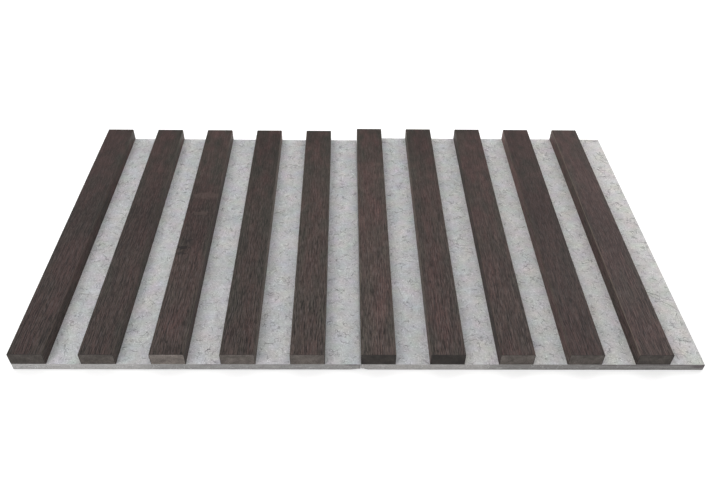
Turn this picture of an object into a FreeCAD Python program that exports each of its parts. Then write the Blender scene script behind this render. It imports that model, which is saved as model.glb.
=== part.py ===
import FreeCAD, Part
import os

from FreeCAD import Vector

# Acoustic slat wall panel: ten wrapped slats on two felt boards, butted edge to edge.
# It lies on its back. X runs across the slats, Y along them and Z out from the wall.
# The origin is the middle of the back. All sizes are in millimetres.

# Slats
slat_width = 28.0              # over the wrap
slat_height = 12.2             # from the felt to the face of the slat
slat_gap = 28.0                # bare felt between two slats
slats_per_board = 5
wrap_thickness = 0.4
core_arris_radius = 0.4        # the wrap is folded over this

# Felt boards
felt_thickness = 7.2
edge_strip = 29.0              # bare felt to the right of the last slat
left_length = 324.5
right_length = 329.0
seam_gap = 0.3                 # between the two boards
felt_edge_radius = 0.6         # cut edges, softened by handling

# Staples, driven from the back through the felt into each core
staples_per_slat = 4
staple_end_margin = 32.0       # from the end of the slat to its first staple
staple_crown = 9.0             # over the legs
wire_width = 0.9               # along the slat
wire_thickness = 0.6
staple_sink = 0.4              # crown below the back of the felt
staple_bite = 7.0              # legs into the core
point_length = 1.2             # chisel point at each leg's end

# Worked out from the sizes above
slat_pitch = slat_width + slat_gap
core_width = slat_width - 2 * wrap_thickness
core_height = slat_height - wrap_thickness
wrap_arris_radius = core_arris_radius + wrap_thickness
board_width = slats_per_board * slat_pitch - slat_gap + edge_strip
panel_width = 2 * board_width + seam_gap
panel_length = max(left_length, right_length)
front = -panel_length / 2
left_edge = -panel_width / 2
right_board_edge = left_edge + board_width + seam_gap
leg_top = felt_thickness + staple_bite


def slat_section(width, height, radius):
    """Face across a slat, square at the felt and with its two outer arrises rounded."""
    half = width / 2
    diagonal = radius * 2 ** -0.5
    left_centre = Vector(radius - half, 0, height - radius)
    right_centre = Vector(half - radius, 0, height - radius)
    left_foot = Vector(-half, 0, 0)
    right_foot = Vector(half, 0, 0)
    left_start = Vector(-half, 0, height - radius)
    left_end = Vector(radius - half, 0, height)
    right_start = Vector(half - radius, 0, height)
    right_end = Vector(half, 0, height - radius)
    left_middle = left_centre + Vector(-diagonal, 0, diagonal)
    right_middle = right_centre + Vector(diagonal, 0, diagonal)
    edges = [
        Part.makeLine(right_foot, left_foot),
        Part.makeLine(left_foot, left_start),
        Part.Arc(left_start, left_middle, left_end).toShape(),
        Part.makeLine(left_end, right_start),
        Part.Arc(right_start, right_middle, right_end).toShape(),
        Part.makeLine(right_end, right_foot),
    ]
    return Part.Face(Part.Wire(edges))


def slat_pieces(centre_x, length, staples):
    """Core and wrap of one slat, standing on the felt. The staples bite into the core."""
    foot = Vector(centre_x, front, felt_thickness)
    outer = slat_section(slat_width, slat_height, wrap_arris_radius)
    inner = slat_section(core_width, core_height, core_arris_radius)
    core = inner.extrude(Vector(0, length, 0))
    wrap = outer.cut(inner).extrude(Vector(0, length, 0))
    core.translate(foot)
    wrap.translate(foot)
    return core.cut(staples), wrap


def felt_board(edge_x, length, staples):
    """Flat board with softened cut edges, the staples' holes and a pocket over each crown."""
    board = Part.makeBox(board_width, length, felt_thickness, Vector(edge_x, front, 0))
    rims = [edge for edge in board.Edges if edge.BoundBox.ZLength < felt_thickness / 2]
    board = board.makeFillet(felt_edge_radius, rims)
    pockets = [crown_pocket(staple) for staple in staples]
    return board.cut(staples + pockets)


def staple_shape(centre_x, centre_y):
    """One U of flat wire, crown down, with chisel points on its legs."""
    half = staple_crown / 2
    inside = half - wire_thickness
    shoulder = leg_top - point_length
    outline = [
        Vector(-half, 0, staple_sink),
        Vector(half, 0, staple_sink),
        Vector(half, 0, leg_top),
        Vector(inside, 0, shoulder),
        Vector(inside, 0, staple_sink + wire_thickness),
        Vector(-inside, 0, staple_sink + wire_thickness),
        Vector(-inside, 0, shoulder),
        Vector(-half, 0, leg_top),
    ]
    face = Part.Face(Part.makePolygon(outline + outline[:1]))
    staple = face.extrude(Vector(0, wire_width, 0))
    staple.translate(Vector(centre_x, centre_y - wire_width / 2, 0))
    return staple


def crown_pocket(staple):
    """Dent in the back of the felt that a crown is sunk in."""
    box = staple.BoundBox
    corner = Vector(box.XMin, box.YMin, 0)
    return Part.makeBox(staple_crown, wire_width, staple_sink, corner)


def staple_row(centre_x, length):
    """The staples of one slat, evenly spaced between its two end margins."""
    first = front + staple_end_margin
    run = length - 2 * staple_end_margin
    spacing = run / (staples_per_slat - 1)
    return [staple_shape(centre_x, first + number * spacing) for number in range(staples_per_slat)]


def save(shape, node):
    """Write one piece under its own name."""
    shape.exportStep(f"parts/{node}.step")


def build_board(side, edge_x, length, first_slat):
    """One felt board with its slats and staples."""
    staples = []
    for place in range(slats_per_board):
        centre_x = edge_x + slat_width / 2 + place * slat_pitch
        row = staple_row(centre_x, length)
        core, wrap = slat_pieces(centre_x, length, row)
        name = f"slat_{first_slat + place:02d}"
        save(core, f"{name}_core")
        save(wrap, f"{name}_wrap")
        staples += row
    save(felt_board(edge_x, length, staples), f"{side}_felt_board")
    save(Part.makeCompound(staples), f"{side}_staples")


os.makedirs("parts", exist_ok=True)
build_board("left", left_edge, left_length, 1)
build_board("right", right_board_edge, right_length, 1 + slats_per_board)
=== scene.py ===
import math
import random

import bmesh
import bpy
from mathutils import Matrix, Vector, noise


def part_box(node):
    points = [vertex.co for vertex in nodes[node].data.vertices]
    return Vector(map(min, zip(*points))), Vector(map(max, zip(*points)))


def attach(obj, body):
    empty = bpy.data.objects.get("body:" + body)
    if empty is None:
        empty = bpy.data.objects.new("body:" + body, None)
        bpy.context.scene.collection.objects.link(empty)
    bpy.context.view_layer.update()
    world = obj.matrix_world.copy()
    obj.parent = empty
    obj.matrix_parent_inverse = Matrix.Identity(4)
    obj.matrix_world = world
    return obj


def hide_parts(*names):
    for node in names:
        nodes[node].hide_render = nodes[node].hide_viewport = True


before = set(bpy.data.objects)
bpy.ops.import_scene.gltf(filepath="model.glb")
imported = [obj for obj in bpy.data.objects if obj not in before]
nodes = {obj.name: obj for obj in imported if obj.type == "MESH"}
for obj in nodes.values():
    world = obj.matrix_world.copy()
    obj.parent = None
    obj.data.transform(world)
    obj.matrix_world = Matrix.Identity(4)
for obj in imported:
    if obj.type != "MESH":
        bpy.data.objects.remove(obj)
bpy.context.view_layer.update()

mm = 0.001
slatCount = 10
slatNames = [f"slat_{number:02d}" for number in range(1, slatCount + 1)]
boardSlats = {"left": slatNames[:slatCount // 2], "right": slatNames[slatCount // 2:]}
noiseLow, noiseHigh = 0.3, 0.7   # nearly all values of a noise texture lie between these
print("frame loaded:", len(nodes), "nodes")


# small helpers, used by every material and piece

def linearColour(hexColour, lightness=1.0):  # sRGB hex to Blender's linear values
    channels = [int(hexColour[start:start + 2], 16) / 255 for start in (1, 3, 5)]
    linear = [c / 12.92 if c <= 0.04045 else ((c + 0.055) / 1.055) ** 2.4 for c in channels]
    return [c * lightness for c in linear] + [1.0]


def addNode(tree, kind, settings, links):
    node = tree.nodes.new("ShaderNode" + kind)
    for name, value in settings.items():
        if isinstance(name, str) and hasattr(node, name):
            setattr(node, name, value)
        else:
            node.inputs[name].default_value = value
    for name, source in links.items():
        tree.links.new(source, node.inputs[name])
    return node


def newMaterial(name):
    material = bpy.data.materials.new(name)
    material.use_nodes = True
    tree = material.node_tree
    tree.nodes.clear()
    place = addNode(tree, "TexCoord", {}, {}).outputs["Object"]
    return material, tree, place


def finishMaterial(tree, shader):
    addNode(tree, "OutputMaterial", {}, {"Surface": shader})


def newPiece(name, bm):
    mesh = bpy.data.meshes.new(name)
    bm.to_mesh(mesh)
    bm.free()
    piece = bpy.data.objects.new(name, mesh)
    bpy.context.scene.collection.objects.link(piece)
    return piece


def softMark(tree, place, centre, reach, jag):  # 1 inside an ellipse in mm, 0 outside, with a ragged rim
    centre = [size * mm for size in centre]
    reach = [size * mm for size in reach]
    rim = (1.2, 0.75)      # it fades between these shares of the reach
    off = addNode(tree, "VectorMath", {"operation": "SUBTRACT", 1: centre}, {0: place})
    off = addNode(tree, "VectorMath", {"operation": "DIVIDE", 1: reach}, {0: off.outputs[0]})
    off = addNode(tree, "VectorMath", {"operation": "LENGTH"}, {0: off.outputs[0]})
    off = addNode(tree, "Math", {"operation": "ADD"}, {0: off.outputs["Value"], 1: jag})
    mark = addNode(tree, "MapRange", {"From Min": rim[0], "From Max": rim[1]}, {"Value": off.outputs[0]})
    return mark.outputs[0]


def smoothStep(low, high, value):
    share = min(max((value - low) / (high - low), 0), 1)
    return share * share * (3 - 2 * share)


# camera: from above the front edge, a little left of the middle, as the photograph was taken

cameraView = {
    "place": (-14.3, -518.5, 457.2),  # mm, from the middle of the panel's back
    "lookDown": 42.5,                 # degrees below the horizon
    "turnRight": 1.26,
    "roll": 1.07,
    "focalLength": 35.4,              # mm
    "sensorWidth": 36.0,
}


def makeCamera(view):
    data = bpy.data.cameras.new("camera")
    data.lens = view["focalLength"]
    data.sensor_width = view["sensorWidth"]
    camera = bpy.data.objects.new("camera", data)
    bpy.context.scene.collection.objects.link(camera)
    turn = Matrix.Rotation(math.radians(-view["turnRight"]), 4, "Z")
    tilt = Matrix.Rotation(math.radians(90 - view["lookDown"]), 4, "X")
    roll = Matrix.Rotation(math.radians(view["roll"]), 4, "Z")
    camera.matrix_world = Matrix.Translation(Vector(view["place"]) * mm) @ turn @ tilt @ roll
    bpy.context.scene.camera = camera


makeCamera(cameraView)
print("camera set")


# felt: polyester needle-punched and pressed into a board, then knife-cut
# the needles leave a flat, matt face, marbled where dark and pale fibres were blended

feltLook = {
    "colour": "#C5C5C6",
    # painted warm light: the felt turns warmer towards the right
    "warmLightColour": "#C8C6C4",
    "warmLightStart": 40.0,     # mm to the right of the seam, where the painted warm light on the felt begins
    "warmLightEnd": 280.0,
    "tintSize": 13.0,      # mm, hardly seen lilac, green and straw tints of the blend
    "tintStrength": 0.17,
    "cloudSize": 14.0,     # mm, soft light and dark areas
    "cloudTones": (0.93, 1.07),
    "clumpSize": 3.2,      # mm, tufts that the needles pulled together
    "clumpTones": (0.85, 1.1),
    "grainSize": 1.3,      # mm, single fibres, drawn about twenty times too coarse so that they show
    "grainTones": (0.91, 1.09),
    "patchSize": 9.0,      # mm, curls show in some places and the face is calm in others
    "patchFade": (0.38, 0.52),
    "tuftFade": (0.42, 0.54),  # and they show where the clumps are
    "curls": [             # loops of fibre: size in mm, seed, half width, how much darker or paler
        (6.0, 0.0, 0.035, -0.4),
        (3.4, 5.0, 0.055, -0.33),
        (4.5, 3.0, 0.035, 0.25),
        (3.0, 8.0, 0.055, 0.2),
    ],
    "speckSpacing": 5.5,   # mm between dark specks
    "speckSize": 0.5,      # mm
    "speckTone": 0.66,
    "bumpHeight": 0.25,    # mm
}
cutLook = {
    "left": "#C0BEBD",
    "right": "#BAB7B5",
    "fade": {"left": 0.73, "right": 0.66},  # the right part of each board's cut is darker
    "fadeStart": -45.0,    # mm, from the middle of the board
    "fadeEnd": -22.0,
    "shadedCreases": {           # painted shade in the cut's creases, mm: middle across the panel and up, half length, half height, then how dark
        "left": [
            (-7.5, 6.3, 7.5, 0.5, 0.7),
            (-24.0, 6.4, 4.5, 0.4, 0.35),
            (-65.0, 6.4, 13.0, 0.4, 0.5),
            (-121.5, 6.4, 8.5, 0.5, 0.45),
        ],
        "right": [
            (232.0, 6.2, 48.0, 0.5, 0.5),
            (277.5, 4.6, 7.0, 2.0, 0.6),
            (215.0, 0.9, 70.0, 0.8, 0.4),
        ],
    },
    # colour of the painted shade in the creases of the cut
    "creaseShade": "#5A4E54",
    "creaseDepth": 30.0,   # mm, in from the front, so that the back edge has none
    "creaseJag": 0.8,
    "layerHeight": 0.8,    # mm, flattened layers seen on the cut
    "layerLength": 11.0,
    "layerTones": (0.78, 1.18),
    "grainSize": 0.9,
    "grainTones": (0.8, 1.2),
    "bumpHeight": 0.3,
}


def needlePunchedFelt(look):
    material, tree, place = newMaterial("needlePunchedFelt")
    fields = {}
    for field, detail, distortion in (("tint", 1.0, 0.0), ("cloud", 2.0, 0.0), ("clump", 3.0, 1.6),
                                      ("grain", 1.0, 0.6), ("patch", 1.0, 0.0)):
        settings = {"Scale": 1 / (look[field + "Size"] * mm), "Detail": detail, "Distortion": distortion}
        fields[field] = addNode(tree, "TexNoise", settings, {"Vector": place}).outputs
    patch = addNode(tree, "MapRange", {"From Min": look["patchFade"][0], "From Max": look["patchFade"][1]},
                    {"Value": fields["patch"]["Fac"]})
    tuft = addNode(tree, "MapRange", {"From Min": look["tuftFade"][0], "From Max": look["tuftFade"][1]},
                   {"Value": fields["clump"]["Fac"]})
    shown = addNode(tree, "Math", {"operation": "MULTIPLY"}, {0: patch.outputs[0], 1: tuft.outputs[0]})
    factors = []
    for field, least, most in (("cloud", noiseLow, noiseHigh), ("clump", 0.3, 0.68), ("grain", 0.25, 0.75)):
        darkest, palest = look[field + "Tones"]
        tone = addNode(tree, "MapRange",
                       {"From Min": least, "From Max": most, "To Min": darkest, "To Max": palest},
                       {"Value": fields[field]["Fac"]})
        factors.append(tone.outputs[0])
    # a curl is where a slow noise crosses its middle value, broken up by the tufts
    for size, seed, width, change in look["curls"]:
        moved = addNode(tree, "Mapping", {"Location": (seed, seed, 0)}, {"Vector": place})
        loops = addNode(tree, "TexNoise", {"Scale": 1 / (size * mm), "Detail": 2.0, "Distortion": 2.5},
                        {"Vector": moved.outputs[0]})
        gap = addNode(tree, "Math", {"operation": "SUBTRACT", 1: 0.5}, {0: loops.outputs["Fac"]})
        gap = addNode(tree, "Math", {"operation": "ABSOLUTE"}, {0: gap.outputs[0]})
        line = addNode(tree, "MapRange", {"From Min": width, "From Max": 0.0}, {"Value": gap.outputs[0]})
        line = addNode(tree, "Math", {"operation": "MULTIPLY"}, {0: line.outputs[0], 1: shown.outputs[0]})
        curled = addNode(tree, "Math", {"operation": "MULTIPLY_ADD", 1: change, 2: 1.0}, {0: line.outputs[0]})
        factors.append(curled.outputs[0])
    cells = addNode(tree, "TexVoronoi", {"Scale": 1 / (look["speckSpacing"] * mm)}, {"Vector": place})
    spread = look["speckSize"] / look["speckSpacing"]
    speck = addNode(tree, "MapRange",
                    {"From Min": spread, "From Max": 2 * spread, "To Min": look["speckTone"], "To Max": 1.0},
                    {"Value": cells.outputs["Distance"]})
    factors.append(speck.outputs[0])
    tone = factors[0]
    for factor in factors[1:]:
        tone = addNode(tree, "Math", {"operation": "MULTIPLY"}, {0: tone, 1: factor}).outputs[0]
    strength = look["tintStrength"]
    tinted = addNode(tree, "VectorMath",
                     {"operation": "MULTIPLY_ADD", 1: [strength] * 3, 2: [1 - strength / 2] * 3},
                     {0: fields["tint"]["Color"]})
    parts = addNode(tree, "SeparateXYZ", {}, {0: place})
    # painted warm light: the felt is tinted warmer towards the right of the seam
    warmth = addNode(tree, "MapRange",
                     {"From Min": look["warmLightStart"] * mm, "From Max": look["warmLightEnd"] * mm},
                     {"Value": parts.outputs["X"]})
    ground = addNode(tree, "Mix", {"data_type": "RGBA", 6: linearColour(look["colour"]),
                                   7: linearColour(look["warmLightColour"])}, {0: warmth.outputs[0]})
    ground = addNode(tree, "VectorMath", {"operation": "MULTIPLY"},
                     {0: tinted.outputs[0], 1: ground.outputs[2]})
    marbled = addNode(tree, "VectorMath", {"operation": "SCALE"}, {0: ground.outputs[0], "Scale": tone})
    height = addNode(tree, "Math", {"operation": "ADD"},
                     {0: fields["clump"]["Fac"], 1: fields["grain"]["Fac"]})
    bump = addNode(tree, "Bump", {"Strength": 0.6, "Distance": look["bumpHeight"] * mm},
                   {"Height": height.outputs[0]})
    shader = addNode(tree, "BsdfPrincipled",
                     {"Roughness": 0.95, "Specular IOR Level": 0.2, "Sheen Weight": 0.15,
                      "Sheen Roughness": 0.6},
                     {"Base Color": marbled.outputs[0], "Normal": bump.outputs["Normal"]})
    finishMaterial(tree, shader.outputs[0])
    return material


def knifeCutFelt(side, look):  # the cut shows the pressed layers as lengthwise streaks, with painted shade in its creases
    material, tree, place = newMaterial("knifeCutFelt_" + side)
    low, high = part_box(f"{side}_felt_board")
    middle = (low.x + high.x) / 2
    squeeze = look["layerHeight"] / look["layerLength"]
    flat = addNode(tree, "Mapping", {"Scale": (squeeze, squeeze, 1)}, {"Vector": place})
    layers = addNode(tree, "TexNoise",
                     {"Scale": 1 / (look["layerHeight"] * mm), "Detail": 3.0, "Roughness": 0.6},
                     {"Vector": flat.outputs[0]})
    grain = addNode(tree, "TexNoise", {"Scale": 1 / (look["grainSize"] * mm), "Detail": 2.0},
                    {"Vector": place})
    parts = addNode(tree, "SeparateXYZ", {}, {0: place})
    fade = addNode(tree, "MapRange",
                   {"interpolation_type": "SMOOTHSTEP", "From Min": middle + look["fadeStart"] * mm,
                    "From Max": middle + look["fadeEnd"] * mm, "To Min": 1.0, "To Max": look["fade"][side]},
                   {"Value": parts.outputs["X"]})
    tone = fade.outputs[0]
    for source, least, most, tones in ((layers, noiseLow, noiseHigh, look["layerTones"]),
                                       (grain, 0.25, 0.75, look["grainTones"])):
        streak = addNode(tree, "MapRange",
                         {"From Min": least, "From Max": most, "To Min": tones[0], "To Max": tones[1]},
                         {"Value": source.outputs["Fac"]})
        tone = addNode(tree, "Math", {"operation": "MULTIPLY"}, {0: tone, 1: streak.outputs[0]}).outputs[0]
    colour = addNode(tree, "VectorMath", {"operation": "SCALE", 0: linearColour(look[side])[:3]},
                     {"Scale": tone}).outputs[0]
    jag = addNode(tree, "MapRange", {"To Min": -look["creaseJag"], "To Max": look["creaseJag"]},
                  {"Value": layers.outputs["Fac"]})
    # painted shade: dark lines where the cut's skin is creased and lifted
    for x, z, halfLength, halfHeight, strength in look["shadedCreases"][side]:
        mark = softMark(tree, place, (x, low.y / mm, z), (halfLength, look["creaseDepth"], halfHeight),
                        jag.outputs[0])
        share = addNode(tree, "Math", {"operation": "MULTIPLY", 1: strength}, {0: mark})
        colour = addNode(tree, "Mix", {"data_type": "RGBA", 7: linearColour(look["creaseShade"])},
                         {0: share.outputs[0], 6: colour}).outputs[2]
    bump = addNode(tree, "Bump", {"Strength": 0.8, "Distance": look["bumpHeight"] * mm},
                   {"Height": layers.outputs["Fac"]})
    shader = addNode(tree, "BsdfPrincipled", {"Roughness": 0.95, "Specular IOR Level": 0.2},
                     {"Base Color": colour, "Normal": bump.outputs["Normal"]})
    finishMaterial(tree, shader.outputs[0])
    return material


# felt boards: one slab each, swelling a little between the slats and dented over each staple's crown

feltShape = {
    "gridStep": 2.0,       # mm
    "cutEdgeRadius": 0.6,
    "swell": 0.15,         # mm, how far the bare felt rises between two slats
    "swellRun": 6.0,       # mm, from a slat's foot to the full height
    "settleRun": 3.0,      # mm, from the cut edge to the full height
    "ripple": 0.10,        # mm, unevenness of the face
    "rippleSize": 22.0,
    "cutWander": 0.12,     # mm, unevenness of the knife cut, inwards only
    "wanderSize": 5.0,
    "crownsPerSlat": 4,    # evenly spaced, as the staples are
    "dimpleDepth": 0.75,   # mm, over the crowns on the back
    "dimpleReach": 7.5,    # mm, across the slat
    "dimpleSlim": 1.6,     # times shorter along the slat
    "chips": {             # frayed bottom corners at the seam, mm: flat for, faded out by, rise
        "left": (0.0, 9.0, 1.3),
        "right": (2.6, 4.6, 1.6),
    },
}


def stapleSpots(side, shape):
    low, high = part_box(f"{side}_staples")
    spacing = (high.y - low.y) / (shape["crownsPerSlat"] - 1)
    spots = []
    for name in boardSlats[side]:
        slatLow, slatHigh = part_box(f"{name}_core")
        middle = (slatLow.x + slatHigh.x) / 2
        for row in range(shape["crownsPerSlat"]):
            spots.append((middle, low.y + spacing * row))
    return spots


def slatSpans(side):
    spans = []
    for name in boardSlats[side]:
        low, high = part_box(f"{name}_wrap")
        spans.append((low.x, high.x))
    return spans


def bareShare(x, spans, run):  # 0 under and beside a slat, 1 from run onwards
    nearest = min(max(start - x, x - end) for start, end in spans)
    return smoothStep(0, run, nearest)


def faceRise(x, y, spans, shape, low, high):  # how far the bare felt stands above its flat face
    bare = bareShare(x, spans, shape["swellRun"] * mm)
    fromEdge = min(x - low.x, high.x - x, y - low.y, high.y - y)
    settle = smoothStep(0, shape["settleRun"] * mm, fromEdge)
    ripple = noise.noise(Vector((x, y, high.z)) / (shape["rippleSize"] * mm)) * shape["ripple"]
    return (shape["swell"] * settle + ripple) * bare * mm


def feltBoard(side, shape, materials):
    low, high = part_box(f"{side}_felt_board")
    size = high - low
    middle = (low + high) / 2
    bm = bmesh.new()
    columns = round(size.x / (shape["gridStep"] * mm))
    rows = round(size.y / (shape["gridStep"] * mm))
    bmesh.ops.create_grid(bm, x_segments=columns, y_segments=rows, size=0.5)
    bmesh.ops.scale(bm, vec=(size.x, size.y, 1), verts=bm.verts)
    bmesh.ops.translate(bm, vec=(middle.x, middle.y, high.z), verts=bm.verts)
    bmesh.ops.solidify(bm, geom=bm.faces[:], thickness=size.z)
    if min(vertex.co.z for vertex in bm.verts) > middle.z:
        bmesh.ops.translate(bm, vec=(0, 0, -size.z), verts=bm.verts)
    bmesh.ops.recalc_face_normals(bm, faces=bm.faces)

    def climb(edge):
        return abs(edge.verts[0].co.z - edge.verts[1].co.z)

    # the rims lie between a face and a cut, the uprights run from one face to the other
    rims = [edge for edge in bm.edges
            if len(edge.link_faces) == 2 and edge.calc_face_angle(0) > 1 and climb(edge) < size.z / 2]
    bmesh.ops.bevel(bm, geom=rims, offset=shape["cutEdgeRadius"] * mm, affect="EDGES", segments=3,
                    profile=0.5, material=-1)
    uprights = [edge for edge in bm.edges if climb(edge) > size.z / 2]
    bmesh.ops.subdivide_edges(bm, edges=uprights, cuts=3, use_grid_fill=True)
    shapeFelt(bm, side, shape, low, high)
    for face in bm.faces:
        face.smooth = True
        face.material_index = 0 if abs(face.normal.z) > 0.5 else 1
    board = newPiece(f"{side}Felt", bm)
    for material in materials:
        board.data.materials.append(material)
    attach(board, "root")
    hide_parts(f"{side}_felt_board")


def shapeFelt(bm, side, shape, low, high):
    spans = slatSpans(side)
    spots = stapleSpots(side, shape)
    middle = (low + high) / 2
    seamX = high.x if side == "left" else low.x
    chipFlat, chipRun, chipRise = [size * mm for size in shape["chips"][side]]
    onCut, onFace = 0.1 * mm, 0.01 * mm   # a vertex nearer than this to the cut or to a face belongs to it
    for vertex in bm.verts:
        point = vertex.co.copy()
        unevenness = 0.5 + 0.5 * noise.noise(point / (shape["wanderSize"] * mm))
        wander = shape["cutWander"] * mm * unevenness
        if min(point.x - low.x, high.x - point.x) < onCut:
            vertex.co.x += math.copysign(wander, middle.x - point.x)
        elif min(point.y - low.y, high.y - point.y) < onCut:
            vertex.co.y += math.copysign(wander, middle.y - point.y)
        if point.z < middle.z:
            toCorner = math.hypot(point.x - seamX, 2 * (point.y - low.y))  # half as far along the seam
            fray = 1 - smoothStep(chipFlat, chipRun, toCorner)
            vertex.co.z += chipRise * fray * (middle.z - point.z) / (middle.z - low.z)
        if point.z > high.z - onFace:
            vertex.co.z += faceRise(point.x, point.y, spans, shape, low, high)
        elif point.z < low.z + onFace:
            nearest = min(math.hypot(point.x - x, (point.y - y) * shape["dimpleSlim"]) for x, y in spots)
            dent = 1 - smoothStep(0, shape["dimpleReach"] * mm, nearest)
            vertex.co.z += shape["dimpleDepth"] * mm * dent


topFelt = needlePunchedFelt(feltLook)
for boardSide in boardSlats:
    feltBoard(boardSide, feltShape, [topFelt, knifeCutFelt(boardSide, cutLook)])
print("felt boards made")


# loose fibres: some of the felt's own fibres have come up and lie in curls on the bare face and on the cuts

fibreLook = {
    "width": 0.22,         # mm, about seven times the real width, so that they show
    "dark": "#7A787A",
    "pale": "#E8E8E8",
    "darkSpread": 1.55,    # of the tones, so that some of the dark ones are grey
    "paleSpread": 1.1,
    "spreadSize": 5.0,     # mm, over which one tone goes over into another
    "lift": 0.35,          # mm, of a curl's middle above the felt
    "leastLift": 0.2,      # the flattest curl against that
    "sink": 0.05,          # mm, of a curl's ends into the felt
    "cutSink": 0.1,        # mm, of a fibre on the cut, because the cut wanders inwards
    "longLift": 0.1,       # mm, of the longest fibres
    "margin": 0.7,         # mm, kept free along the felt's edges
    "clearOfSlat": 0.3,    # mm
    "tangle": 8.0,         # mm, size of the places where many lie together
    "gather": (-0.25, 0.35),  # a fibre stays where the tangle is above a number drawn between these
    "bendKept": 0.6,       # of one step's bend in the next
}
longFibres = [             # mm: points of the longest dark ones, on the right board's bare strip
    [(262.5, -94.5), (267.0, -92.5), (272.0, -96.5), (276.0, -99.0), (279.8, -105.5)],
    [(263.5, -137.0), (267.5, -139.0), (271.5, -138.5), (275.5, -140.5), (278.8, -140.0)],
    [(258.0, -88.0), (261.0, -84.0), (266.0, -85.0), (269.0, -89.0)],
]
fibreBatches = [           # tone, place, number on each board, steps, mm to a step, radians turned at each
    ("dark", "face", 60, 8, 1.3, 0.3),
    ("dark", "face", 800, 6, 1.0, 0.5),
    ("dark", "cut", 60, 5, 0.9, 0.4),
    ("pale", "face", 520, 6, 1.0, 0.5),
    ("pale", "cut", 60, 5, 0.9, 0.4),
]


def polyesterFibre(tone, look):  # extruded filament: smooth and a little glossy
    material, tree, place = newMaterial("polyesterFibre_" + tone)
    mixed = addNode(tree, "TexNoise", {"Scale": 1 / (look["spreadSize"] * mm), "Detail": 1.0},
                    {"Vector": place})
    spread = look[tone + "Spread"]
    shade = addNode(tree, "MapRange",
                    {"From Min": noiseLow, "From Max": noiseHigh, "To Min": 1 / spread, "To Max": spread},
                    {"Value": mixed.outputs["Fac"]})
    colour = addNode(tree, "VectorMath", {"operation": "SCALE", 0: linearColour(look[tone])[:3]},
                     {"Scale": shade.outputs[0]})
    shader = addNode(tree, "BsdfPrincipled", {"Roughness": 0.45}, {"Base Color": colour.outputs[0]})
    finishMaterial(tree, shader.outputs[0])
    return material


def tangled(x, y, look):  # about -0.5 where the felt is clean and 0.5 where many fibres lie
    return noise.noise(Vector((x, y, 0)) / (look["tangle"] * mm))


def curl(chance, look, low, high, free, steps, step, turn):  # a wandering line that turns back at a border
    x, y = chance.uniform(low[0], high[0]), chance.uniform(low[1], high[1])
    while not (free(x) and tangled(x, y, look) > chance.uniform(*look["gather"])):
        x, y = chance.uniform(low[0], high[0]), chance.uniform(low[1], high[1])
    heading = chance.uniform(0, math.tau)
    bend = 0
    line = [(x, y)]
    for _ in range(steps):
        bend = look["bendKept"] * bend + chance.gauss(0, turn)
        heading += bend
        aheadX = x + math.cos(heading) * step * mm
        if not (low[0] < aheadX < high[0] and free(aheadX)):
            heading = math.pi - heading
        if not low[1] < y + math.sin(heading) * step * mm < high[1]:
            heading = -heading
        x += math.cos(heading) * step * mm
        y += math.sin(heading) * step * mm
        line.append((x, y))
    return line


def addFibre(curve, points):
    spline = curve.splines.new("NURBS")
    spline.points.add(len(points) - 1)
    for knot, point in zip(spline.points, points):
        knot.co = (*point, 1)
    spline.order_u = 3
    spline.use_endpoint_u = True
    spline.resolution_u = 2


def looseFibres(side, tone, look, shape, material):
    chance = random.Random(f"{side} {tone}")
    low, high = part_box(f"{side}_felt_board")
    spans = slatSpans(side)
    margin = look["margin"] * mm
    faceRange = low.xy + Vector((margin, margin)), high.xy - Vector((margin, margin))
    cutRange = (low.x + margin, low.z + margin), (high.x - margin, high.z - margin)
    curve = bpy.data.curves.new(f"{side}Fibres_{tone}", "CURVE")
    curve.dimensions = "3D"
    curve.bevel_depth = look["width"] / 2 * mm
    curve.bevel_resolution = 0

    def onBareFace(x):
        return min(max(start - x, x - end) for start, end in spans) > look["clearOfSlat"] * mm

    def anywhere(x):
        return True

    def faceHeight(x, y):
        return high.z + faceRise(x, y, spans, shape, low, high)

    for batchTone, place, number, steps, step, turn in fibreBatches:
        if batchTone != tone:
            continue
        for _ in range(number):
            if place == "face":
                line = curl(chance, look, *faceRange, onBareFace, steps, step, turn)
                lift = chance.uniform(look["leastLift"], 1.0) * look["lift"]
                points = []
                for index, (x, y) in enumerate(line):
                    arch = math.sin(math.pi * index / steps) * lift
                    points.append((x, y, faceHeight(x, y) + (arch - look["sink"]) * mm))
            else:
                along = chance.choice(("front", "front", "back"))
                line = curl(chance, look, *cutRange, anywhere, steps, step, turn)
                sink = look["cutSink"] * mm
                wall = low.y + sink if along == "front" else high.y - sink
                points = [(x, wall, z) for x, z in line]
            addFibre(curve, points)
    if side == "right" and tone == "dark":
        for line in longFibres:
            line = [(x * mm, y * mm) for x, y in line]
            addFibre(curve, [(x, y, faceHeight(x, y) + look["longLift"] * mm) for x, y in line])
    fibres = bpy.data.objects.new(f"{side}Fibres_{tone}", curve)
    bpy.context.scene.collection.objects.link(fibres)
    curve.materials.append(material)
    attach(fibres, "root")


for fibreTone in ("dark", "pale"):
    filament = polyesterFibre(fibreTone, fibreLook)
    for boardSide in boardSlats:
        looseFibres(boardSide, fibreTone, fibreLook, feltShape, filament)
print("loose fibres laid")


# slat wraps: smoked oak grain printed on a matt foil, folded over the face and both sides
# short dark pores run along the slat between fine lighter lines
# the print is mauve brown in the middle and olive near the arrises

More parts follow.
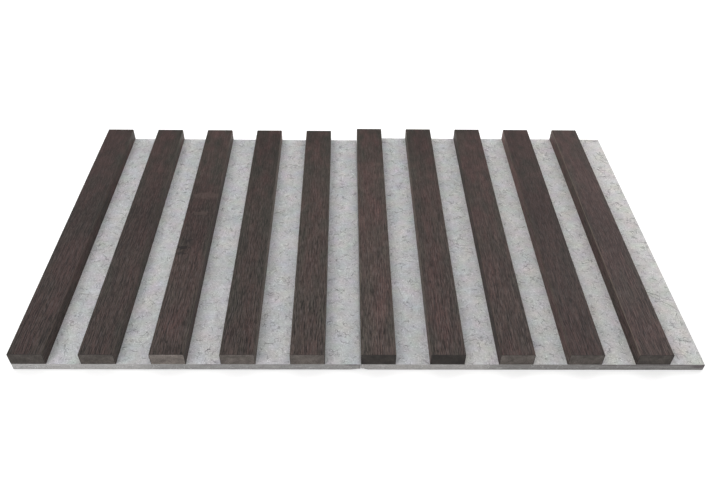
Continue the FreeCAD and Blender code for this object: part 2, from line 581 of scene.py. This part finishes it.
wrapLook = {
    "warm": "#4D3A37",
    "olive": "#403B35",
    "middleWarmth": 0.18,  # moves the print to the warm colour there, and to olive at the edge
    "edgeWarmth": -0.22,
    "middleReach": 5.0,    # mm, from the slat's middle line
    "edgeReach": 14.0,
    "fields": {            # of the print: mm across and along the slat, detail, and a shift of its noise
        "line": (0.55, 24.0, 0.0, 0.0),    # growth lines, about as fine as the real ones
        "pore": (0.5, 6.5, 0.0, 5.0),      # drawn a little wider than the real ones so that they show
        "fleck": (0.5, 8.0, 0.0, 7.0),     # short pale dashes between the pores
        "mottle": (3.5, 9.0, 1.0, 11.0),   # soft patches a little lighter or darker
        "dust": (0.9, 0.9, 1.0, 13.0),     # fine specks of the matt lacquer
        "patch": (9.0, 17.0, 1.0, 17.0),   # reddish and pale or olive and dark, only towards the back
        "tint": (13.0, 48.0, 2.0, 9.0),    # patches of one tint
    },
    "lineTones": (0.52, 1.5),
    "poreFade": (0.34, 0.44),
    "poreTone": 0.4,
    "fleck": "#6B5F5D",
    "fleckFade": (0.56, 0.68),
    "fleckStrength": 0.45,
    "mottleSpread": 0.09,
    "dustSpread": 0.2,
    "patchTone": 1.4,
    "patchWarmth": 2.6,
    "bold": 1.12,          # the grain's contrast at calmRun from the back end
    "calm": 0.34,          # the grain's contrast at the back end, where the print is quieter
    "calmRun": 300.0,      # mm, over which it fades
    "swayWidth": 12.0,     # mm, slow wander of the grain
    "swayLength": 60.0,
    "sway": 0.8,
    "dusk": 0.75,          # each foil has one darker stretch
    "duskReach": 70.0,     # mm, to each side of its middle
    "sideLightFront": 0.92,     # painted light: lightness of the folded sides at the front end
    "sideLightBack": 1.4,
    # colour of the painted highlight along the arrises
    "arrisHighlight": "#7A7065",
    "cutEdge": "#231D1C",
    "bumpHeight": 0.12,    # mm
}
knotLook = {
    "slat": "slat_03",
    "place": (-162.0, -37.0),  # mm
    "reach": (10.0, 26.0),     # mm, how far the grain bows round it
    "bow": -0.9,
    "dark": "#241D1C",
    "pale": "#6B5A54",
    "markDepth": 6.0,          # mm, over which a mark fades down the slat's side
    "rimSize": 2.5,            # mm, of the ragged rim
    "rimJag": 1.2,
    "marks": [                 # tone, then mm: place, half width, half length, then how strong
        ("dark", -164.0, -38.3, 6.0, 2.4, 1.0),
        ("dark", -164.5, -46.6, 5.0, 2.0, 0.6),
        ("dark", -158.3, -28.6, 3.2, 1.9, 0.7),
        ("dark", -152.0, -26.0, 11.0, 9.0, 0.22),
        ("dark", -154.7, 5.0, 16.0, 62.0, 0.18),
        ("dark", -154.5, 25.0, 0.6, 7.0, 0.5),
        ("pale", -152.0, 40.0, 12.0, 5.0, 0.28),
        ("pale", -154.0, 12.0, 10.0, 2.5, 0.22),
    ],
}
slatPrint = {              # one number for each slat, from the left
    "lightness": [0.62, 0.66, 0.81, 0.73, 0.89, 1.02, 0.835, 0.82, 0.64, 0.84],
    "dusk": [10, 5, 15, 130, 150, 150, 140, 190, 10, -10],  # mm, the middle of its darker stretch
    "sideLight": [1.34, 1.71, 1.24, 2.9, 1.0, 1.04, 2.2, 0.9, 2.25, 1.28],  # painted light and shade of the folded sides, against the face
    "highlightStrength": [0.3, 0.3, 0.3, 0.3, 0.3, 0.3, 0.3, 0.3, 0.5, 0.8],  # how strong the painted highlight along the arrises is
    "redness": [0.22, 0.0, 0.0, -0.22, -0.22, -0.06, -0.06, 0.13, 0.34, 0.27],  # added to the print's warmth
}


def bowRound(tree, place, knot):  # pushes the grain aside, so that it runs round the knot
    centre = [size * mm for size in knot["place"]] + [0]
    reach = [size * mm for size in knot["reach"]] + [1]
    away = addNode(tree, "VectorMath", {"operation": "SUBTRACT", 1: centre}, {0: place})
    near = addNode(tree, "VectorMath", {"operation": "DIVIDE", 1: reach}, {0: away.outputs[0]})
    near = addNode(tree, "VectorMath", {"operation": "LENGTH"}, {0: near.outputs[0]})
    pull = addNode(tree, "MapRange",
                   {"interpolation_type": "SMOOTHSTEP", "To Min": knot["bow"], "To Max": 0.0},
                   {"Value": near.outputs["Value"]})
    across = addNode(tree, "VectorMath", {"operation": "MULTIPLY", 1: (1, 0, 0)}, {0: away.outputs[0]})
    bow = addNode(tree, "VectorMath", {"operation": "SCALE"},
                  {0: across.outputs[0], "Scale": pull.outputs[0]})
    return bow.outputs[0]


def printFields(tree, place, look, seed, knot):  # the noises that the print is made of, drawn along the grain
    # the seed gives each foil its own part of the noises
    shifted = addNode(tree, "Mapping", {"Location": (0.37 * seed, 0.61 * seed, 0)}, {"Vector": place})
    slow = addNode(tree, "Mapping", {"Scale": (1, look["swayWidth"] / look["swayLength"], 1)},
                   {"Vector": shifted.outputs[0]})
    slow = addNode(tree, "TexNoise", {"Scale": 1 / (look["swayWidth"] * mm), "Detail": 1.0},
                   {"Vector": slow.outputs[0]})
    sway = addNode(tree, "MapRange",
                   {"From Min": 0.25, "From Max": 0.75, "To Min": -look["sway"] * mm,
                    "To Max": look["sway"] * mm},
                   {"Value": slow.outputs["Fac"]})
    aside = addNode(tree, "CombineXYZ", {}, {"X": sway.outputs[0]})
    grainPlace = addNode(tree, "VectorMath", {"operation": "ADD"},
                         {0: shifted.outputs[0], 1: aside.outputs[0]})
    if knot:
        grainPlace = addNode(tree, "VectorMath", {"operation": "ADD"},
                             {0: grainPlace.outputs[0], 1: bowRound(tree, place, knot)})
    fields = {}
    for field, (width, length, detail, shift) in look["fields"].items():
        drawn = addNode(tree, "Mapping", {"Scale": (1, width / length, 1), "Location": (shift, shift, 0)},
                        {"Vector": grainPlace.outputs[0]})
        fields[field] = addNode(tree, "TexNoise", {"Scale": 1 / (width * mm), "Detail": detail},
                                {"Vector": drawn.outputs[0]}).outputs["Fac"]
    return fields


def addKnotMarks(tree, place, top, grained, knot, lightness):
    ragged = addNode(tree, "TexNoise", {"Scale": 1 / (knot["rimSize"] * mm), "Detail": 2.0},
                     {"Vector": place})
    jag = addNode(tree, "MapRange", {"To Min": -knot["rimJag"], "To Max": knot["rimJag"]},
                  {"Value": ragged.outputs["Fac"]})
    for tone, x, y, halfWidth, halfLength, strength in knot["marks"]:
        mark = softMark(tree, place, (x, y, top / mm), (halfWidth, halfLength, knot["markDepth"]),
                        jag.outputs[0])
        share = addNode(tree, "Math", {"operation": "MULTIPLY", 1: strength}, {0: mark})
        grained = addNode(tree, "Mix", {"data_type": "RGBA", 7: linearColour(knot[tone], lightness)},
                          {0: share.outputs[0], 6: grained}).outputs[2]
    return grained


def smokedOakFoil(name, look, seed, own, knot=None):
    material, tree, place = newMaterial("smokedOakFoil_" + name)
    low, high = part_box(f"{name}_wrap")
    lightness = own["lightness"]
    fields = printFields(tree, place, look, seed, knot)
    parts = addNode(tree, "SeparateXYZ", {}, {0: place})
    # the grain's tone: growth lines and pores, which fade towards the back end
    lines = addNode(tree, "MapRange",
                    {"From Min": noiseLow, "From Max": noiseHigh, "To Min": look["lineTones"][0],
                     "To Max": look["lineTones"][1]},
                    {"Value": fields["line"]})
    pores = addNode(tree, "MapRange",
                    {"From Min": look["poreFade"][0], "From Max": look["poreFade"][1],
                     "To Min": look["poreTone"], "To Max": 1.0},
                    {"Value": fields["pore"]})
    grain = addNode(tree, "Math", {"operation": "MULTIPLY_ADD", 2: -1.0},
                    {0: lines.outputs[0], 1: pores.outputs[0]})
    calm = addNode(tree, "MapRange",
                   {"From Min": high.y - look["calmRun"] * mm, "From Max": high.y, "To Min": look["bold"],
                    "To Max": look["calm"]},
                   {"Value": parts.outputs["Y"]})
    grain = addNode(tree, "Math", {"operation": "MULTIPLY_ADD", 2: 1.0},
                    {0: grain.outputs[0], 1: calm.outputs[0]})
    # the darker stretch, mottle, dust and the broad patches of the back
    fromDusk = addNode(tree, "Math", {"operation": "SUBTRACT", 1: own["dusk"] * mm}, {0: parts.outputs["Y"]})
    fromDusk = addNode(tree, "Math", {"operation": "ABSOLUTE"}, {0: fromDusk.outputs[0]})
    dusk = addNode(tree, "MapRange",
                   {"interpolation_type": "SMOOTHSTEP", "From Max": look["duskReach"] * mm,
                    "To Min": look["dusk"], "To Max": 1.0},
                   {"Value": fromDusk.outputs[0]})
    tone = addNode(tree, "Math", {"operation": "MULTIPLY"}, {0: grain.outputs[0], 1: dusk.outputs[0]})
    for field in ("mottle", "dust"):
        spread = look[field + "Spread"]
        factor = addNode(tree, "MapRange",
                         {"From Min": noiseLow, "From Max": noiseHigh, "To Min": 1 - spread,
                          "To Max": 1 + spread},
                         {"Value": fields[field]})
        tone = addNode(tree, "Math", {"operation": "MULTIPLY"}, {0: tone.outputs[0], 1: factor.outputs[0]})
    blurred = addNode(tree, "Math", {"operation": "SUBTRACT", 0: 1.0, "use_clamp": True},
                      {1: calm.outputs[0]})
    patch = addNode(tree, "Math", {"operation": "SUBTRACT", 1: 0.5}, {0: fields["patch"]})
    patch = addNode(tree, "Math", {"operation": "MULTIPLY"}, {0: patch.outputs[0], 1: blurred.outputs[0]})
    patchTone = addNode(tree, "Math", {"operation": "MULTIPLY_ADD", 1: look["patchTone"], 2: 1.0},
                        {0: patch.outputs[0]})
    tone = addNode(tree, "Math", {"operation": "MULTIPLY"}, {0: tone.outputs[0], 1: patchTone.outputs[0]})
    # the print's colour
    centred = addNode(tree, "Math", {"operation": "SUBTRACT", 1: (low.x + high.x) / 2},
                      {0: parts.outputs["X"]})
    fromMiddle = addNode(tree, "Math", {"operation": "ABSOLUTE"}, {0: centred.outputs[0]})
    edgeward = addNode(tree, "MapRange",
                       {"From Min": look["middleReach"] * mm, "From Max": look["edgeReach"] * mm,
                        "To Min": look["middleWarmth"] + own["redness"],
                        "To Max": look["edgeWarmth"] + own["redness"]},
                       {"Value": fromMiddle.outputs[0]})
    warmth = addNode(tree, "MapRange", {"From Min": noiseLow, "From Max": noiseHigh},
                     {"Value": fields["tint"]})
    warmth = addNode(tree, "Math", {"operation": "MULTIPLY_ADD", 1: look["patchWarmth"]},
                     {0: patch.outputs[0], 2: warmth.outputs[0]})
    warmth = addNode(tree, "Math", {"operation": "ADD", "use_clamp": True},
                     {0: warmth.outputs[0], 1: edgeward.outputs[0]})
    tint = addNode(tree, "Mix", {"data_type": "RGBA", 6: linearColour(look["olive"], lightness),
                                 7: linearColour(look["warm"], lightness)}, {0: warmth.outputs[0]})
    grained = addNode(tree, "VectorMath", {"operation": "SCALE"},
                      {0: tint.outputs[2], "Scale": tone.outputs[0]})
    flecks = addNode(tree, "MapRange",
                     {"From Min": look["fleckFade"][0], "From Max": look["fleckFade"][1],
                      "To Max": look["fleckStrength"]},
                     {"Value": fields["fleck"]})
    flecks = addNode(tree, "Math", {"operation": "MULTIPLY"}, {0: flecks.outputs[0], 1: calm.outputs[0]})
    grained = addNode(tree, "Mix", {"data_type": "RGBA", 7: linearColour(look["fleck"], lightness)},
                      {0: flecks.outputs[0], 6: grained.outputs[0]}).outputs[2]
    if knot:
        grained = addKnotMarks(tree, place, high.z, grained, knot, lightness)
    # the folded sides with their painted light and shade, the arrises with a painted highlight and the foil's
    # trimmed ends, told apart by the way they face
    facing = addNode(tree, "TexCoord", {}, {})
    facing = addNode(tree, "SeparateXYZ", {}, {0: facing.outputs["Normal"]})
    sideOn = addNode(tree, "Math", {"operation": "ABSOLUTE"}, {0: facing.outputs["X"]})
    sideOn = addNode(tree, "Math", {"operation": "GREATER_THAN", 1: 0.9}, {0: sideOn.outputs[0]})
    # painted light and shade: each slat's folded sides lighter or darker than its face, and lighter towards
    # the back
    paintedSideLight = addNode(tree, "MapRange",
                       {"From Min": low.y, "From Max": high.y,
                        "To Min": look["sideLightFront"] * own["sideLight"] - 1,
                        "To Max": look["sideLightBack"] * own["sideLight"] - 1},
                       {"Value": parts.outputs["Y"]})
    paintedSideLight = addNode(tree, "Math", {"operation": "MULTIPLY_ADD", 2: 1.0},
                       {0: paintedSideLight.outputs[0], 1: sideOn.outputs[0]})
    grained = addNode(tree, "VectorMath", {"operation": "SCALE"},
                      {0: grained, "Scale": paintedSideLight.outputs[0]}).outputs[0]
    # painted highlight: the arrises, which face halfway up, are made paler
    fold = addNode(tree, "Math", {"operation": "MULTIPLY"}, {0: facing.outputs["X"], 1: facing.outputs["Z"]})
    fold = addNode(tree, "Math", {"operation": "ABSOLUTE"}, {0: fold.outputs[0]})
    highlightShare = addNode(tree, "MapRange", {"From Min": 0.1, "From Max": 0.5, "To Max": own["highlightStrength"]},
                     {"Value": fold.outputs[0]})  # 0.5 is an arris that faces halfway up
    highlighted = addNode(tree, "Mix", {"data_type": "RGBA", 7: linearColour(look["arrisHighlight"], lightness)},
                   {0: highlightShare.outputs[0], 6: grained})
    endOn = addNode(tree, "Math", {"operation": "ABSOLUTE"}, {0: facing.outputs["Y"]})
    endOn = addNode(tree, "Math", {"operation": "GREATER_THAN", 1: 0.7}, {0: endOn.outputs[0]})
    trimmed = addNode(tree, "Mix", {"data_type": "RGBA", 7: linearColour(look["cutEdge"])},
                      {0: endOn.outputs[0], 6: highlighted.outputs[2]})
    bump = addNode(tree, "Bump", {"Strength": 0.5, "Distance": look["bumpHeight"] * mm},
                   {"Height": tone.outputs[0]})
    shader = addNode(tree, "BsdfPrincipled", {"Roughness": 0.6, "Specular IOR Level": 0.25},
                     {"Base Color": trimmed.outputs[2], "Normal": bump.outputs["Normal"]})
    finishMaterial(tree, shader.outputs[0])
    return material


# slat cores: dyed medium-density fibreboard, sawn across
# so the ends are plain, finely speckled and faintly cloudy

coreLook = {
    "colour": "#57514D",
    "lightness": [0.82, 0.95, 2.1, 1.5, 1.45, 0.42, 0.36, 1.3, 1.12, 0.75],  # of each core, from the left
    "speckSize": 0.8,      # mm
    "speckContrast": 0.28,
    "cloudSize": 6.0,
    "cloudContrast": 0.34,
    "bumpHeight": 0.1,
}
wireLook = {
    "colour": "#B4B8BC",
    "lineSize": 0.4,       # mm, lines drawn along the wire
    "roughness": (0.3, 0.5),
}


def sawnFibreboard(name, look, lightness):
    material, tree, place = newMaterial("sawnFibreboard_" + name)
    shades = []
    for field in ("speck", "cloud"):
        contrast = look[field + "Contrast"]
        specks = addNode(tree, "TexNoise", {"Scale": 1 / (look[field + "Size"] * mm), "Detail": 3.0},
                         {"Vector": place})
        shade = addNode(tree, "MapRange",
                        {"From Min": noiseLow, "From Max": noiseHigh, "To Min": 1 - contrast,
                         "To Max": 1 + contrast},
                        {"Value": specks.outputs["Fac"]})
        shades.append(shade.outputs[0])
    tone = addNode(tree, "Math", {"operation": "MULTIPLY"}, {0: shades[0], 1: shades[1]})
    colour = addNode(tree, "VectorMath",
                     {"operation": "SCALE", 0: linearColour(look["colour"], lightness)[:3]},
                     {"Scale": tone.outputs[0]})
    bump = addNode(tree, "Bump", {"Strength": 0.4, "Distance": look["bumpHeight"] * mm},
                   {"Height": tone.outputs[0]})
    shader = addNode(tree, "BsdfPrincipled", {"Roughness": 0.85, "Specular IOR Level": 0.3},
                     {"Base Color": colour.outputs[0], "Normal": bump.outputs["Normal"]})
    finishMaterial(tree, shader.outputs[0])
    return material


def galvanisedWire(look):  # drawn, flattened and zinc coated: a dull bluish metal with faint lines
    material, tree, place = newMaterial("galvanisedWire")
    lines = addNode(tree, "TexNoise", {"Scale": 1 / (look["lineSize"] * mm), "Detail": 3.0},
                    {"Vector": place})
    rough = addNode(tree, "MapRange", {"To Min": look["roughness"][0], "To Max": look["roughness"][1]},
                    {"Value": lines.outputs["Fac"]})
    shader = addNode(tree, "BsdfPrincipled", {"Base Color": linearColour(look["colour"]), "Metallic": 1.0},
                     {"Roughness": rough.outputs[0]})
    finishMaterial(tree, shader.outputs[0])
    return material


def dress(node, material):
    data = nodes[node].data
    data.materials.clear()
    data.materials.append(material)


for index, slatName in enumerate(slatNames):
    own = {key: values[index] for key, values in slatPrint.items()}
    knotHere = knotLook if slatName == knotLook["slat"] else None
    dress(f"{slatName}_wrap", smokedOakFoil(slatName, wrapLook, index + 1, own, knotHere))
    dress(f"{slatName}_core", sawnFibreboard(slatName, coreLook, coreLook["lightness"][index]))
wire = galvanisedWire(wireLook)
for boardSide in boardSlats:
    dress(f"{boardSide}_staples", wire)
print("slats dressed")


# floor and light: a white floor that keeps the soft shadow, a softbox overhead, a key at the left front,
# a low light in front and one at each back corner

studio = {
    "floorSize": 8.0,      # metres
    "floorDrop": 0.1,      # mm, below the panel's back
    "floorColour": "#E8E8E8",
    "floorGlow": 0.45,     # seen by the camera only
    "farGlow": 1.0,        # the same, far from the panel, where less light falls
    "glowStart": 0.7,      # metres from the panel's middle
    "glowEnd": 1.8,
    "skyStrength": 0.21,   # of the light from all round; the camera sees it white
}
lamps = {                  # watts, metres
    "overhead": {"power": 16.4, "size": 2.0, "place": (-0.12, 0.4, 1.5)},
    "leftKey": {"power": 5.5, "size": 0.8, "place": (-0.9, -0.9, 1.1)},
    "front": {"power": 3.6, "size": 0.8, "place": (-0.3, -1.4, 0.5)},
    "leftBack": {"power": 3.0, "size": 0.8, "place": (-1.0, 0.7, 0.7)},
    "rightBack": {"power": 7.2, "size": 0.8, "place": (1.0, 0.7, 0.7)},
}


def makeFloor(look):
    bm = bmesh.new()
    bmesh.ops.create_grid(bm, x_segments=1, y_segments=1, size=look["floorSize"] / 2)
    bmesh.ops.translate(bm, vec=(0, 0, -look["floorDrop"] * mm), verts=bm.verts)
    floor = newPiece("floor", bm)
    material, tree, place = newMaterial("whitePaper")
    rays = addNode(tree, "LightPath", {}, {})
    seen = addNode(tree, "Math", {"operation": "MAXIMUM"},
                   {0: rays.outputs["Is Camera Ray"], 1: rays.outputs["Is Glossy Ray"]})
    seen = addNode(tree, "Math", {"operation": "MAXIMUM"},
                   {0: seen.outputs[0], 1: rays.outputs["Is Transmission Ray"]})
    paper = addNode(tree, "BsdfDiffuse", {"Color": linearColour(look["floorColour"])}, {})
    away = addNode(tree, "VectorMath", {"operation": "LENGTH"}, {0: place})
    glow = addNode(tree, "MapRange",
                   {"interpolation_type": "SMOOTHSTEP", "From Min": look["glowStart"],
                    "From Max": look["glowEnd"], "To Min": look["floorGlow"], "To Max": look["farGlow"]},
                   {"Value": away.outputs["Value"]})
    glow = addNode(tree, "Emission", {}, {"Strength": glow.outputs[0]})
    lift = addNode(tree, "AddShader", {}, {0: paper.outputs[0], 1: glow.outputs[0]})
    both = addNode(tree, "MixShader", {}, {0: seen.outputs[0], 1: paper.outputs[0], 2: lift.outputs[0]})
    finishMaterial(tree, both.outputs[0])
    floor.data.materials.append(material)


def makeSky(look):
    world = bpy.data.worlds.new("studio")
    world.use_nodes = True
    tree = world.node_tree
    tree.nodes.clear()
    rays = addNode(tree, "LightPath", {}, {})
    strength = addNode(tree, "MapRange", {"To Min": look["skyStrength"], "To Max": 1.0},
                       {"Value": rays.outputs["Is Camera Ray"]})
    sky = addNode(tree, "Background", {"Color": linearColour("#FFFFFF")}, {"Strength": strength.outputs[0]})
    addNode(tree, "OutputWorld", {}, {"Surface": sky.outputs[0]})
    bpy.context.scene.world = world


def makeLamp(name, look):
    data = bpy.data.lights.new(name, "AREA")
    data.energy = look["power"]
    data.shape = "SQUARE"
    data.size = look["size"]
    lamp = bpy.data.objects.new(name, data)
    bpy.context.scene.collection.objects.link(lamp)
    lamp.location = look["place"]
    lamp.rotation_mode = "QUATERNION"
    lamp.rotation_quaternion = Vector(look["place"]).to_track_quat("Z", "Y")


makeFloor(studio)
makeSky(studio)
for lampName, lampLook in lamps.items():
    makeLamp(lampName, lampLook)
bpy.context.scene.view_settings.view_transform = "Standard"
print("floor and light set")
